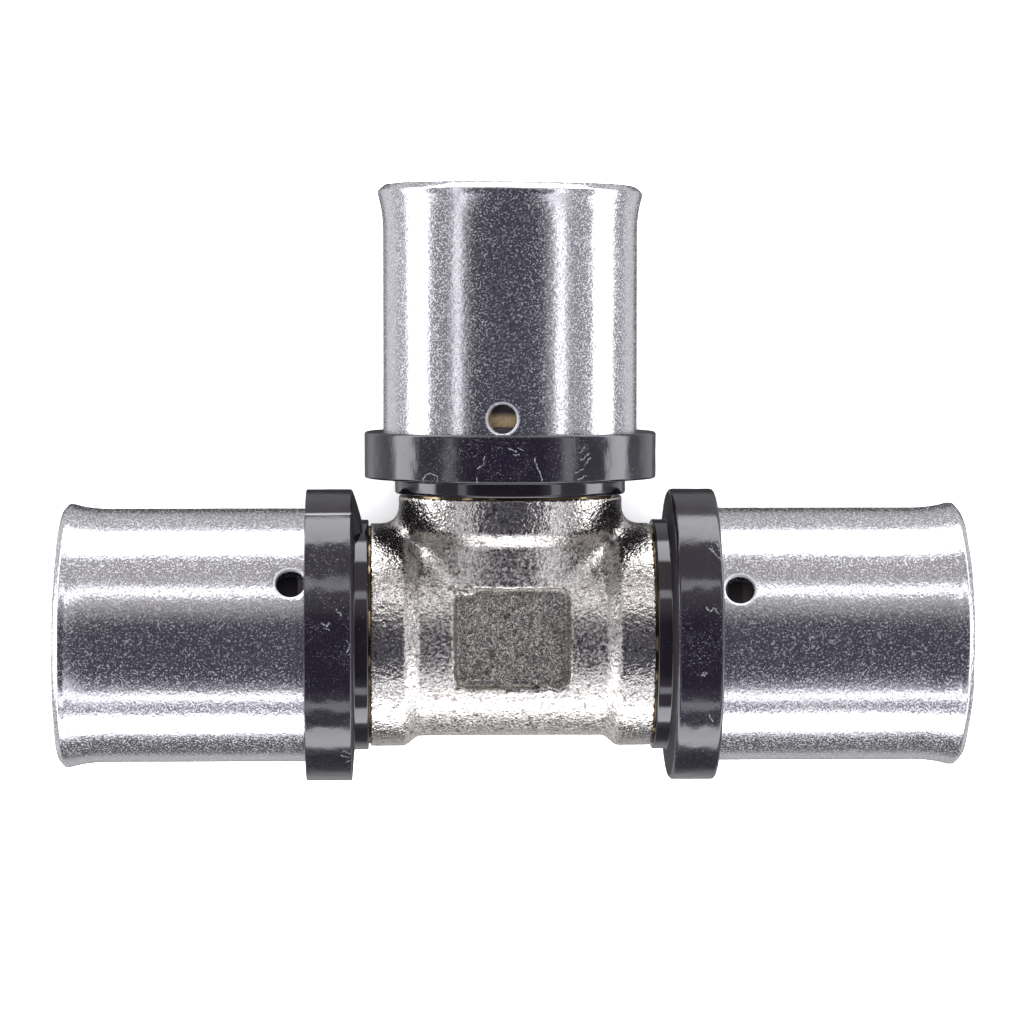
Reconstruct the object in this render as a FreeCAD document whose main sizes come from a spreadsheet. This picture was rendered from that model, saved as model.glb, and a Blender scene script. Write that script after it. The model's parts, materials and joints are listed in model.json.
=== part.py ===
import FreeCAD, Part
import math
import os
import Sketcher

# Equal press tee for 20 x 2 mm multilayer pipe.
# One forged body with three barbed nipples. On each nipple sit two seals, a plastic retaining ring
# that snaps into a groove at the nipple's root, and a steel press sleeve that stands in the ring.
# The tee lies on its three retaining rings: run along X, branch towards +Y, marked side up.
# Every arm is drawn along its own +X from the point where the axes cross, and turned into place.
# The origin is on the surface that the tee lies on, under the middle of its outline.

SIZES = [
    # retaining ring and sleeve, seen from outside
    ("flange_radius", 13.27, "retaining ring: wide flange, outer radius"),
    ("flange_foot", 14.15, "retaining ring: foot of the flange's sloping face towards the body"),
    ("flange_start", 14.35, "retaining ring: outer edge of that face"),
    ("flange_end", 18.5, "retaining ring: flange, face towards the mouth"),
    ("neck_radius", 10.45, "retaining ring: small collar, outer radius"),
    ("neck_round", 0.25, "retaining ring: rounded edge of the small collar"),
    ("flange_round", 0.3, "retaining ring: rounded edge of the flange, towards the mouth"),
    ("flange_bevel", 0.2, "retaining ring: broken edge of the flange, towards the body"),
    ("ring_bore", 8.65, "retaining ring: bore over the nipple's root"),
    ("lip_radius", 8.05, "retaining ring: snap lip, inner radius"),
    ("lip_start", 14.7, "retaining ring: snap lip, body side"),
    ("lip_end", 15.7, "retaining ring: snap lip, mouth side"),
    ("web_radius", 10.25, "retaining ring: web inside the sleeve, outer radius"),
    ("pocket_radius", 11.55, "retaining ring: pocket for the sleeve, outer radius"),
    ("catch_radius", 11.8, "retaining ring: groove that holds the sleeve's bead"),
    ("catch_end", 16.3, "retaining ring: end of that groove"),
    ("sleeve_foot", 15.6, "sleeve: end that stands in the ring"),
    ("sleeve_radius", 11.5, "sleeve: outer radius"),
    ("sleeve_inside", 10.3, "sleeve: inner radius, for a pipe of 20 mm"),
    ("bead_radius", 11.75, "sleeve: bead at the foot, outer radius"),
    ("bead_end", 16.15, "sleeve: end of the bead"),
    ("flare_start", 36.2, "sleeve: where the mouth begins to widen"),
    ("flare_radius", 11.95, "sleeve: outer radius of the widened mouth"),
    ("sleeve_mouth", 40.9, "sleeve: mouth plane"),
    ("mouth_inside", 10.95, "sleeve: inner radius of the widened mouth"),
    ("mouth_round", 0.35, "sleeve: rounded lip"),
    ("window_station", 19.9, "sleeve: centre of the inspection holes"),
    ("window_radius", 1.35, "sleeve: radius of the inspection holes"),
    ("window_bevel", 0.28, "sleeve: burnished edge of the inspection holes"),
    ("window_left", 28.1, "left sleeve: turn of its holes about the arm, degrees"),
    ("window_right", -24.7, "right sleeve: turn of its holes about the arm, degrees"),
    ("window_branch", -5.1, "branch sleeve: turn of its holes about the arm, degrees"),
    # forged body
    ("barrel_radius", 9.2, "body: round barrel of the run and of the branch"),
    ("collar_radius", 10.1, "body: raised collar at each arm's end"),
    ("collar_start", 8.5, "body: slope up to the collar begins"),
    ("collar_full", 9.5, "body: slope up to the collar ends"),
    ("collar_end", 12.6, "body: end of the plated collar"),
    ("bare_radius", 9.95, "body: machined face ring, bare brass"),
    ("shoulder", 12.85, "body: shoulder that the retaining ring stands on"),
    ("waterway", 5.6, "body: radius of the waterway"),
    ("waterway_bevel", 0.4, "body: bevel at the waterway's mouth"),
    ("panel_length", 10.35, "body: recessed panel, along the run"),
    ("panel_width", 9.1, "body: recessed panel, along the branch"),
    ("panel_x", -0.05, "body: recessed panel, centre along the run"),
    ("panel_y", 0.25, "body: recessed panel, centre along the branch"),
    ("panel_corner", 1.0, "body: recessed panel, corner radius"),
    ("panel_floor", 7.5, "body: height of the panel's floor above the axes"),
    # nipple
    ("root_radius", 8.6, "nipple: root, under the retaining ring"),
    ("clip_start", 14.6, "nipple: groove for the snap lip, body side"),
    ("clip_end", 15.8, "nipple: groove for the snap lip, mouth side"),
    ("clip_radius", 8.0, "nipple: bottom of that groove"),
    ("pipe_stop", 19.1, "nipple and retaining ring: shoulder that the pipe stops against, seen through the holes"),
    ("land_radius", 7.95, "nipple: lands that fill the pipe's bore of 16 mm"),
    ("valley_radius", 7.5, "nipple: valleys of the barbs"),
    ("barb_pitch", 1.5, "nipple: length of one barb"),
    ("barbs_middle", 26.2, "nipple: first barb between the seals"),
    ("barbs_far", 34.6, "nipple: first barb next to the tip"),
    ("seal_near", 23.0, "nipple: seal groove next to the body, start"),
    ("seal_far", 31.2, "nipple: seal groove next to the tip, start"),
    ("seal_groove", 2.4, "nipple: width of a seal groove"),
    ("seal_floor", 6.5, "nipple: radius at the bottom of a seal groove"),
    ("seal_edge", 0.4, "nipple: short land beside the near seal's groove"),
    ("far_edge", 0.6, "nipple: short land beyond the far seal's groove"),
    ("tip_land_end", 38.2, "nipple: end of the last land"),
    ("nipple_end", 39.2, "nipple: end"),
    ("tip_radius", 7.1, "nipple: radius at the end of its lead-in cone"),
    # seals
    ("cord_radius", 0.8, "seal: radius of its round section"),
]

doc = FreeCAD.newDocument("press_tee")
sheet = doc.addObject("Spreadsheet::Sheet", "sizes")
for line, (alias, number, meaning) in enumerate(SIZES, start=1):
    sheet.set("A%d" % line, meaning)
    sheet.set("B%d" % line, str(number))
    sheet.setAlias("B%d" % line, alias)
doc.recompute()
NUMBER = {alias: number for alias, number, _ in SIZES}


class Size:
    """A length as a number and as a formula over the sheet's cells."""

    def __init__(self, number, text):
        self.number = number
        self.text = text

    def __add__(self, other):
        other = size(other)
        return Size(self.number + other.number, "(%s + %s)" % (self.text, other.text))

    def __sub__(self, other):
        other = size(other)
        return Size(self.number - other.number, "(%s - %s)" % (self.text, other.text))

    def __mul__(self, factor):
        return Size(self.number * factor, "(%s * %s)" % (self.text, factor))

    def __neg__(self):
        return Size(-self.number, "(0 - %s)" % self.text)


def size(what):
    """A cell by its name, or a plain number."""
    if isinstance(what, Size):
        return what
    if isinstance(what, str):
        return Size(NUMBER[what], "sizes." + what)
    return Size(float(what), str(what))


def between(low, high, share):
    """A size that lies part of the way from one size to another."""
    low, high = size(low), size(high)
    return low + (high - low) * share


def new_body(name):
    body = doc.addObject("PartDesign::Body", name)
    body.Label = name
    return body


def origin_feature(body, role):
    return next(o for o in body.Origin.OriginFeatures if o.Role == role)


def sketch_on(body, name, role="XY_Plane"):
    sketch = body.newObject("Sketcher::SketchObject", name)
    sketch.AttachmentSupport = (origin_feature(body, role), [""])
    sketch.MapMode = "FlatFace"
    return sketch


def fix_point(sketch, geometry, end, x, y):
    """Holds one end of a line, or a circle's centre, at a place given by the sheet."""
    for axis, what, line in (("X", size(x), -2), ("Y", size(y), -1)):
        if what.number == 0:
            sketch.addConstraint(
                Sketcher.Constraint("PointOnObject", geometry, end, line)
            )
        else:
            k = sketch.addConstraint(
                Sketcher.Constraint(
                    "Distance" + axis, -1, 1, geometry, end, what.number
                )
            )
            sketch.setExpression("Constraints[%d]" % k, what.text)


def outline(sketch, points):
    """A closed chain of straight lines, every corner held by the sheet's sizes."""
    points = [(size(x), size(y)) for x, y in points]
    count = len(points)
    for i in range(count):
        (x0, y0), (x1, y1) = points[i], points[(i + 1) % count]
        sketch.addGeometry(
            Part.LineSegment(
                FreeCAD.Vector(x0.number, y0.number, 0),
                FreeCAD.Vector(x1.number, y1.number, 0),
            ),
            False,
        )
    for i in range(count):
        sketch.addConstraint(
            Sketcher.Constraint("Coincident", i, 2, (i + 1) % count, 1)
        )
    for i, (x, y) in enumerate(points):
        fix_point(sketch, i, 1, x, y)


def revolve(body, sketch, name, axis="H_Axis"):
    turned = body.newObject("PartDesign::Revolution", name)
    turned.Profile = sketch
    turned.ReferenceAxis = (sketch, [axis])
    turned.Angle = 360.0
    body.Tip = turned
    doc.recompute()
    return turned


def edges_where(shape, test):
    """The names of the edges that pass a test."""
    return [
        "Edge%d" % (i + 1) for i, edge in enumerate(shape.Edges) if test(edge)
    ]


def ring_edges(shape, station, radius, tolerance=0.01):
    """Circles about the arm's axis at one station and radius."""

    def test(edge):
        curve = edge.Curve
        return (
            isinstance(curve, Part.Circle)
            and abs(curve.Radius - radius) < tolerance
            and abs(curve.Center.x - station) < tolerance
            and math.hypot(curve.Center.y, curve.Center.z) < tolerance
        )

    return edges_where(shape, test)


def dress(body, base, names, kind, name, cell):
    """A rounding (Radius) or a bevel (Size) on named edges, its size from the sheet."""
    if not names:
        raise SystemExit("no edges found for " + name)
    trim = body.newObject("PartDesign::" + kind, name)
    trim.Base = (base, names)
    trim.setExpression("Radius" if kind == "Fillet" else "Size", "sizes." + cell)
    body.Tip = trim
    doc.recompute()
    if "Invalid" in trim.State:
        raise SystemExit("%s failed: %s" % (name, trim.getStatusString()))
    return trim


# Where the axes cross, seen from the origin: half the outline back, and one flange radius up.
TEE_Y = "(sizes.flange_radius - sizes.sleeve_mouth) / 2"
TEE_Z = "sizes.flange_radius"


def put(body, turn):
    """Turns a piece's arm about the vertical and moves it to where the axes cross."""
    body.Placement = FreeCAD.Placement(
        FreeCAD.Vector(0, 0, 0), FreeCAD.Rotation(FreeCAD.Vector(0, 0, 1), turn)
    )
    body.setExpression("Placement.Base.y", TEE_Y)
    body.setExpression("Placement.Base.z", TEE_Z)


# ---- forged body -----------------------------------------------------------------------------


def barbs(first, count):
    """Sawtooth barbs: a steep side towards the body and a slope down towards the tip."""
    chain = []
    for i in range(count):
        start = size(first) + size("barb_pitch") * i
        chain += [(start, "valley_radius"), (start, "land_radius")]
    chain.append((size(first) + size("barb_pitch") * count, "valley_radius"))
    return chain


def make_body():
    body = new_body("body")
    arm = sketch_on(body, "arm_profile")
    middle_end = size("barbs_middle") + size("barb_pitch") * 3
    far_end = size("barbs_far") + size("barb_pitch") * 2
    seal_near_end = size("seal_near") + "seal_groove"
    seal_far_end = size("seal_far") + "seal_groove"
    points = [
        (0, 0),
        (0, "barrel_radius"),
        ("collar_start", "barrel_radius"),
        ("collar_full", "collar_radius"),
        ("collar_end", "collar_radius"),
        ("collar_end", "bare_radius"),
        ("shoulder", "bare_radius"),
        ("shoulder", "root_radius"),
        ("clip_start", "root_radius"),
        ("clip_start", "clip_radius"),
        ("clip_end", "clip_radius"),
        ("clip_end", "root_radius"),
        ("pipe_stop", "root_radius"),
        ("pipe_stop", "land_radius"),
        ("seal_near", "land_radius"),
        ("seal_near", "seal_floor"),
        (seal_near_end, "seal_floor"),
        (seal_near_end, "land_radius"),
        (seal_near_end + "seal_edge", "land_radius"),
        (seal_near_end + "seal_edge", "valley_radius"),
    ]
    points += barbs("barbs_middle", 3)
    points += [
        (middle_end, "land_radius"),
        ("seal_far", "land_radius"),
        ("seal_far", "seal_floor"),
        (seal_far_end, "seal_floor"),
        (seal_far_end, "land_radius"),
        (seal_far_end + "far_edge", "land_radius"),
        (seal_far_end + "far_edge", "valley_radius"),
    ]
    points += barbs("barbs_far", 2)
    points += [
        (far_end, "land_radius"),
        ("tip_land_end", "land_radius"),
        ("nipple_end", "tip_radius"),
        ("nipple_end", 0),
    ]
    outline(arm, points)
    turned = revolve(body, arm, "arm")

    # The same arm three times: right, branch and left.
    arms = body.newObject("PartDesign::PolarPattern", "three_arms")
    arms.Originals = [turned]
    arms.Axis = (origin_feature(body, "Z_Axis"), [""])
    arms.Angle = 180.0
    arms.Occurrences = 3
    body.Tip = arms
    doc.recompute()
    last = arms

    # Waterways: straight through the run, and from its middle out of the branch.
    for name, role, both, wanted in (
        ("run_waterway", "YZ_Plane", True, FreeCAD.Vector(1, 0, 0)),
        ("branch_waterway", "XZ_Plane", False, FreeCAD.Vector(0, 1, 0)),
    ):
        circle = sketch_on(body, name + "_circle", role)
        circle.addGeometry(
            Part.Circle(
                FreeCAD.Vector(0, 0, 0), FreeCAD.Vector(0, 0, 1), NUMBER["waterway"]
            ),
            False,
        )
        circle.addConstraint(Sketcher.Constraint("Coincident", 0, 3, -1, 1))
        k = circle.addConstraint(
            Sketcher.Constraint("Radius", 0, NUMBER["waterway"])
        )
        circle.setExpression("Constraints[%d]" % k, "sizes.waterway")
        doc.recompute()
        before = body.Shape.Volume
        hole = body.newObject("PartDesign::Pocket", name)
        hole.Profile = circle
        hole.Type = "Length"
        hole.Midplane = both
        hole.setExpression(
            "Length", "sizes.nipple_end * %d + 2" % (2 if both else 1)
        )
        normal = circle.Placement.Rotation.multVec(FreeCAD.Vector(0, 0, 1))
        # a pocket cuts against its sketch's normal unless it is reversed
        hole.Reversed = (not both) and normal.dot(wanted) > 0
        body.Tip = hole
        doc.recompute()
        cut = before - body.Shape.Volume
        print(name, "cuts", round(cut, 1), "mm3")
        if cut < 1500:
            raise SystemExit(name + " cuts too little")
        last = hole

    # Bevel where each waterway comes out of its nipple.
    def mouth(edge):
        curve = edge.Curve
        if not isinstance(curve, Part.Circle):
            return False
        far = max(abs(curve.Center.x), abs(curve.Center.y))
        return (
            abs(curve.Radius - NUMBER["waterway"]) < 0.01
            and abs(far - NUMBER["nipple_end"]) < 0.01
        )

    last = dress(
        body,
        last,
        edges_where(last.Shape, mouth),
        "Chamfer",
        "waterway_mouths",
        "waterway_bevel",
    )

    # Recessed panel on the upper side, with a flat floor and round corners.
    panel = sketch_on(body, "panel_outline")
    half_x, half_y = size("panel_length") * 0.5, size("panel_width") * 0.5
    cx, cy, cr = size("panel_x"), size("panel_y"), size("panel_corner")
    corners = []
    for sx, sy in ((1, -1), (1, 1), (-1, 1), (-1, -1)):
        corners.append((cx + half_x * sx, cy + half_y * sy, sx, sy))
    geometry = []
    for i in range(4):
        x0, y0, sx0, sy0 = corners[i]
        x1, y1, sx1, sy1 = corners[(i + 1) % 4]
        # this side runs from one corner's arc to the next
        if sx0 == sx1:
            a = (x0, y0 - cr * sy0)
            b = (x1, y1 - cr * sy1)
        else:
            a = (x0 - cr * sx0, y0)
            b = (x1 - cr * sx1, y1)
        geometry.append((a, b))
    for a, b in geometry:
        k = panel.addGeometry(
            Part.LineSegment(
                FreeCAD.Vector(a[0].number, a[1].number, 0),
                FreeCAD.Vector(b[0].number, b[1].number, 0),
            ),
            False,
        )
        fix_point(panel, k, 1, a[0], a[1])
        fix_point(panel, k, 2, b[0], b[1])
    for i in range(4):
        end, start = geometry[i][1], geometry[(i + 1) % 4][0]
        x, y, sx, sy = corners[(i + 1) % 4]
        centre = FreeCAD.Vector(
            x.number - sx * cr.number, y.number - sy * cr.number, 0
        )
        a0 = math.atan2(end[1].number - centre.y, end[0].number - centre.x)
        a1 = math.atan2(start[1].number - centre.y, start[0].number - centre.x)
        arc = Part.ArcOfCircle(
            Part.Circle(centre, FreeCAD.Vector(0, 0, 1), cr.number), a0, a1
        )
        k = panel.addGeometry(arc, False)
        panel.addConstraint(Sketcher.Constraint("Coincident", i, 2, k, 1))
        panel.addConstraint(Sketcher.Constraint("Coincident", k, 2, (i + 1) % 4, 1))
        r = panel.addConstraint(Sketcher.Constraint("Radius", k, cr.number))
        panel.setExpression("Constraints[%d]" % r, cr.text)
    panel.AttachmentOffset = FreeCAD.Placement(
        FreeCAD.Vector(0, 0, NUMBER["panel_floor"]), FreeCAD.Rotation()
    )
    panel.setExpression("AttachmentOffset.Base.z", "sizes.panel_floor")
    doc.recompute()
    before = body.Shape.Volume
    recess = body.newObject("PartDesign::Pocket", "panel")
    recess.Profile = panel
    recess.Type = "Length"
    recess.setExpression("Length", "sizes.collar_radius")
    recess.Reversed = True  # from the floor upwards
    body.Tip = recess
    doc.recompute()
    cut = before - body.Shape.Volume
    print("panel cuts", round(cut, 1), "mm3")
    if not 20 < cut < 200:
        raise SystemExit("the panel cuts the wrong amount")
    put(body, 0)
    return body


# ---- press sleeve ----------------------------------------------------------------------------


def make_sleeve(name, turn, window_cell):
    body = new_body(name)
    wall = sketch_on(body, name + "_wall")
    start, mouth = "flare_start", "sleeve_mouth"
    r0, r1 = "sleeve_radius", "flare_radius"
    i0, i1 = "sleeve_inside", "mouth_inside"
    points = [
        ("sleeve_foot", "sleeve_inside"),
        ("sleeve_foot", "bead_radius"),
        ("bead_end", "bead_radius"),
        (size("bead_end") + 0.1, "sleeve_radius"),
        (start, "sleeve_radius"),
        # the mouth widens slowly at first and faster towards the lip
        (between(start, mouth, 0.30), between(r0, r1, 0.13)),
        (between(start, mouth, 0.60), between(r0, r1, 0.38)),
        (between(start, mouth, 0.77), between(r0, r1, 0.62)),
        (between(start, mouth, 0.84), between(r0, r1, 0.82)),
        (between(start, mouth, 0.90), r1),
        (mouth, r1),
        (mouth, i1),
        (between(start, mouth, 0.88), between(i0, i1, 0.82)),
        (between(start, mouth, 0.70), between(i0, i1, 0.50)),
        (between(start, mouth, 0.35), between(i0, i1, 0.15)),
        (start, i0),
    ]
    outline(wall, points)
    tube = revolve(body, wall, name + "_tube")
    lip = ring_edges(tube.Shape, NUMBER["sleeve_mouth"], NUMBER["flare_radius"])
    lip += ring_edges(tube.Shape, NUMBER["sleeve_mouth"], NUMBER["mouth_inside"])
    last = dress(body, tube, lip, "Fillet", name + "_lip", "mouth_round")

    # Inspection holes: one, then three round the sleeve.
    window = sketch_on(body, name + "_window")
    window.AttachmentOffset = FreeCAD.Placement(
        FreeCAD.Vector(0, 0, 0),
        FreeCAD.Rotation(FreeCAD.Vector(1, 0, 0), NUMBER[window_cell]),
    )
    window.setExpression(
        "AttachmentOffset.Rotation.Angle", "sizes.%s * 1 deg" % window_cell
    )
    window.addGeometry(
        Part.Circle(
            FreeCAD.Vector(NUMBER["window_station"], 0, 0),
            FreeCAD.Vector(0, 0, 1),
            NUMBER["window_radius"],
        ),
        False,
    )
    fix_point(window, 0, 3, "window_station", 0)
    k = window.addConstraint(
        Sketcher.Constraint("Radius", 0, NUMBER["window_radius"])
    )
    window.setExpression("Constraints[%d]" % k, "sizes.window_radius")
    doc.recompute()
    before = body.Shape.Volume
    hole = body.newObject("PartDesign::Pocket", name + "_hole")
    hole.Profile = window
    hole.Type = "Length"
    hole.setExpression("Length", "sizes.flange_radius")
    hole.Reversed = True  # upwards, away from the axis
    body.Tip = hole
    doc.recompute()
    around = body.newObject("PartDesign::PolarPattern", name + "_holes")
    around.Originals = [hole]
    around.Axis = (origin_feature(body, "X_Axis"), [""])
    around.Angle = 360.0
    around.Occurrences = 3
    body.Tip = around
    doc.recompute()
    cut = before - body.Shape.Volume
    print(name, "holes cut", round(cut, 2), "mm3")
    if not 15 < cut < 30:
        raise SystemExit(name + ": the holes cut the wrong amount")

    # Burnished edge on the outside of each hole.
    def rim(edge):
        box = edge.BoundBox
        middle = edge.valueAt((edge.FirstParameter + edge.LastParameter) / 2)
        points = [
            edge.valueAt(
                edge.FirstParameter
                + (edge.LastParameter - edge.FirstParameter) * i / 12.0
            )
            for i in range(13)
        ]
        out = all(
            abs(math.hypot(p.y, p.z) - NUMBER["sleeve_radius"]) < 0.02 for p in points
        )
        return (
            out
            and abs(middle.x - NUMBER["window_station"]) < NUMBER["window_radius"] + 0.1
            and box.XLength < 2 * NUMBER["window_radius"] + 0.2
        )

    dress(
        body,
        around,
        edges_where(around.Shape, rim),
        "Chamfer",
        name + "_rims",
        "window_bevel",
    )
    put(body, turn)
    return body


# ---- retaining ring --------------------------------------------------------------------------


def make_ring(name, turn):
    body = new_body(name)
    section = sketch_on(body, name + "_section")
    outline(
        section,
        [
            ("shoulder", "ring_bore"),
            ("lip_start", "ring_bore"),
            ("lip_start", "lip_radius"),
            ("lip_end", "lip_radius"),
            ("lip_end", "ring_bore"),
            ("pipe_stop", "ring_bore"),
            ("pipe_stop", "web_radius"),
            ("sleeve_foot", "web_radius"),
            ("sleeve_foot", "catch_radius"),
            ("catch_end", "catch_radius"),
            ("catch_end", "pocket_radius"),
            ("flange_end", "pocket_radius"),
            ("flange_end", "flange_radius"),
            (size("flange_start") + "flange_bevel", "flange_radius"),
            ("flange_start", size("flange_radius") - "flange_bevel"),
            ("flange_foot", "neck_radius"),
            ("shoulder", "neck_radius"),
        ],
    )
    ring = revolve(body, section, name + "_ring")
    neck = ring_edges(ring.Shape, NUMBER["shoulder"], NUMBER["neck_radius"])
    last = dress(body, ring, neck, "Fillet", name + "_neck_edge", "neck_round")
    edges = ring_edges(last.Shape, NUMBER["flange_end"], NUMBER["flange_radius"])
    dress(body, last, edges, "Fillet", name + "_flange_edge", "flange_round")
    put(body, turn)
    return body


# ---- seal ------------------------------------------------------------------------------------


def make_seal(name, turn, groove_cell):
    body = new_body(name)
    section = sketch_on(body, name + "_section")
    centre_x = size(groove_cell) + size("seal_groove") * 0.5
    centre_y = size("seal_floor") + "cord_radius"
    section.addGeometry(
        Part.Circle(
            FreeCAD.Vector(centre_x.number, centre_y.number, 0),
            FreeCAD.Vector(0, 0, 1),
            NUMBER["cord_radius"],
        ),
        False,
    )
    fix_point(section, 0, 3, centre_x, centre_y)
    k = section.addConstraint(Sketcher.Constraint("Radius", 0, NUMBER["cord_radius"]))
    section.setExpression("Constraints[%d]" % k, "sizes.cord_radius")
    revolve(body, section, name + "_ring")
    put(body, turn)
    return body


pieces = [make_body()]
for side, turn in (("left", 180), ("right", 0), ("branch", 90)):
    pieces.append(make_sleeve("sleeve_" + side, turn, "window_" + side))
    pieces.append(make_ring("ring_" + side, turn))
    pieces.append(make_seal("o_ring_%s_inner" % side, turn, "seal_near"))
    pieces.append(make_seal("o_ring_%s_outer" % side, turn, "seal_far"))
doc.recompute()

# Nothing is written unless every object and every piece is sound.
for thing in doc.Objects:
    if "Invalid" in thing.State or "Error" in thing.State:
        raise SystemExit("%s is %s" % (thing.Name, thing.State))
for piece in pieces:
    shape = piece.Shape
    if shape.isNull() or not shape.isValid() or len(shape.Solids) != 1:
        raise SystemExit("%s is not one sound solid" % piece.Label)

os.makedirs("parts", exist_ok=True)
for piece in pieces:
    piece.Shape.exportStep("parts/%s.step" % piece.Label)
    box = piece.Shape.BoundBox
    print(
        "%-22s %8.1f mm3  x %7.2f %7.2f  y %7.2f %7.2f  z %7.2f %7.2f"
        % (
            piece.Label,
            piece.Shape.Volume,
            box.XMin,
            box.XMax,
            box.YMin,
            box.YMax,
            box.ZMin,
            box.ZMax,
        )
    )
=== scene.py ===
import json
import math

import bpy
import numpy as np
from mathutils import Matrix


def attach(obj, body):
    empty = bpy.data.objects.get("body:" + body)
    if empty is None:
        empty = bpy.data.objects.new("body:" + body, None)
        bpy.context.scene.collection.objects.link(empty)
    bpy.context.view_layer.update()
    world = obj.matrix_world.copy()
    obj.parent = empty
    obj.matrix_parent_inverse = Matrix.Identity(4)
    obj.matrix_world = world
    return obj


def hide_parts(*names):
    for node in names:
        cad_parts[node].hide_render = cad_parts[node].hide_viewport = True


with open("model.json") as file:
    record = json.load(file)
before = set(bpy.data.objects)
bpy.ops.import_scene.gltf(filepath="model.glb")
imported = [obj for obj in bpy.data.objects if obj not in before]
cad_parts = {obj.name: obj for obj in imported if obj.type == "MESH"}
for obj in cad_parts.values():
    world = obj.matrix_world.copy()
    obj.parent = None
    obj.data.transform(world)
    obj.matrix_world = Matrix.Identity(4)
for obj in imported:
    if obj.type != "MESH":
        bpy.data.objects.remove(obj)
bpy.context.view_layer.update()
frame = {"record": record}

# ------------------------------------------------------------------------------------------------
# The tee lies on its three retaining rings. Everything below is worked out in millimetres from the
# point where the axes cross, and turned into metres in the shared frame at the end.
# ------------------------------------------------------------------------------------------------
MOUNT = {m["name"]: m for m in frame["record"]["mounts"]}
TEE = np.array([0.0, MOUNT["nipple_left"]["pos_m"][1], MOUNT["nipple_left"]["pos_m"][2]])
TURN = {"right": 0.0, "branch": 90.0, "left": 180.0}
WINDOW = {"left": 28.1, "right": -24.7, "branch": -5.1}  # turn of the inspection holes, degrees


def to_frame(points, turn=0.0):
    """Millimetres in an arm's own frame (axis along +X) to metres in the shared frame."""
    c, s = math.cos(math.radians(turn)), math.sin(math.radians(turn))
    turned = np.column_stack(
        [
            points[:, 0] * c - points[:, 1] * s,
            points[:, 0] * s + points[:, 1] * c,
            points[:, 2],
        ]
    )
    return turned * 0.001 + TEE


# ---- noise for shapes ----------------------------------------------------------------------------
_LATTICE = np.random.default_rng(7).uniform(-1, 1, (32, 32, 32)).astype(np.float64)


def noise3(points, size, shift=0.0):
    """Smooth noise of about -1..1 with bumps of one size, in the same units as the points."""
    q = np.asarray(points, float) / size + shift * 7.31 + 100.0
    i = np.floor(q).astype(int)
    f = q - i
    f = f * f * f * (f * (f * 6 - 15) + 10)
    out = 0.0
    for dx in (0, 1):
        for dy in (0, 1):
            for dz in (0, 1):
                w = (
                    (f[..., 0] if dx else 1 - f[..., 0])
                    * (f[..., 1] if dy else 1 - f[..., 1])
                    * (f[..., 2] if dz else 1 - f[..., 2])
                )
                out = out + w * _LATTICE[
                    (i[..., 0] + dx) % 32, (i[..., 1] + dy) % 32, (i[..., 2] + dz) % 32
                ]
    return out


# ---- mesh making ---------------------------------------------------------------------------------


def make_object(name, points, faces, materials, face_material=None, uv=None, sharp=None):
    mesh = bpy.data.meshes.new(name)
    mesh.from_pydata(points.tolist(), [], [tuple(f) for f in faces])
    mesh.update()
    for m in materials:
        mesh.materials.append(m)
    if face_material is not None:
        mesh.polygons.foreach_set("material_index", np.asarray(face_material, np.int32))
    mesh.polygons.foreach_set("use_smooth", np.ones(len(mesh.polygons), bool))
    if uv is not None:
        layer = mesh.uv_layers.new(name="around")
        layer.data.foreach_set("uv", np.asarray(uv, np.float32).ravel())
    if sharp is not None:
        mesh.set_sharp_from_angle(angle=math.radians(sharp))
    mesh.validate()
    mesh.update()
    obj = bpy.data.objects.new(name, mesh)
    bpy.context.scene.collection.objects.link(obj)
    return obj


def turn_profile(profile, segments, closed=True, offset=None, phase=0.0):
    """Revolves (station, radius) points about +X. Returns points and quads.

    offset(points) may move the finished points, each given with its angle.
    """
    profile = np.asarray(profile, float)
    n = len(profile)
    angle = np.arange(segments) * 2 * math.pi / segments + phase
    a = np.repeat(profile[:, 0], segments)
    r = np.repeat(profile[:, 1], segments)
    t = np.tile(angle, n)
    points = np.column_stack([a, -r * np.sin(t), r * np.cos(t)])
    if offset is not None:
        points = offset(points, a, r, t)
    rows = n if closed else n - 1
    i = np.arange(rows)
    j = np.arange(segments)
    ii, jj = np.meshgrid(i, j, indexing="ij")
    i2 = (ii + 1) % n
    j2 = (jj + 1) % segments
    quads = np.stack(
        [
            ii * segments + jj,
            i2 * segments + jj,
            i2 * segments + j2,
            ii * segments + j2,
        ],
        axis=-1,
    ).reshape(-1, 4)
    return points, quads


def arc(cx, cy, radius, start, end, count):
    """Points on a circle, angles in degrees."""
    t = np.radians(np.linspace(start, end, count))
    return [(cx + radius * math.cos(x), cy + radius * math.sin(x)) for x in t]


def spread(points, step):
    """Adds points along straight runs so that none is longer than the step."""
    out = []
    for (x0, y0), (x1, y1) in zip(points, points[1:] + points[:1]):
        count = max(1, int(math.ceil(math.hypot(x1 - x0, y1 - y0) / step)))
        for k in range(count):
            out.append((x0 + (x1 - x0) * k / count, y0 + (y1 - y0) * k / count))
    return out


def outward(points, quads):
    """Turns every face over if the closed mesh has its faces inside out."""
    p = points[quads]
    if p.shape[1] == 4:
        n = np.cross(p[:, 2] - p[:, 0], p[:, 3] - p[:, 1])
    else:
        n = np.cross(p[:, 1] - p[:, 0], p[:, 2] - p[:, 0])
    volume = (n * (p.mean(1) - points.mean(0))).sum()
    return quads if volume > 0 else quads[:, ::-1]


# ------------------------------------------------------------------------------------------------
# Materials
# ------------------------------------------------------------------------------------------------


PANEL = (-0.06, 0.25, 5.17, 4.55, 1.15, 7.5)  # centre, half sizes, corner radius, floor height


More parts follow.
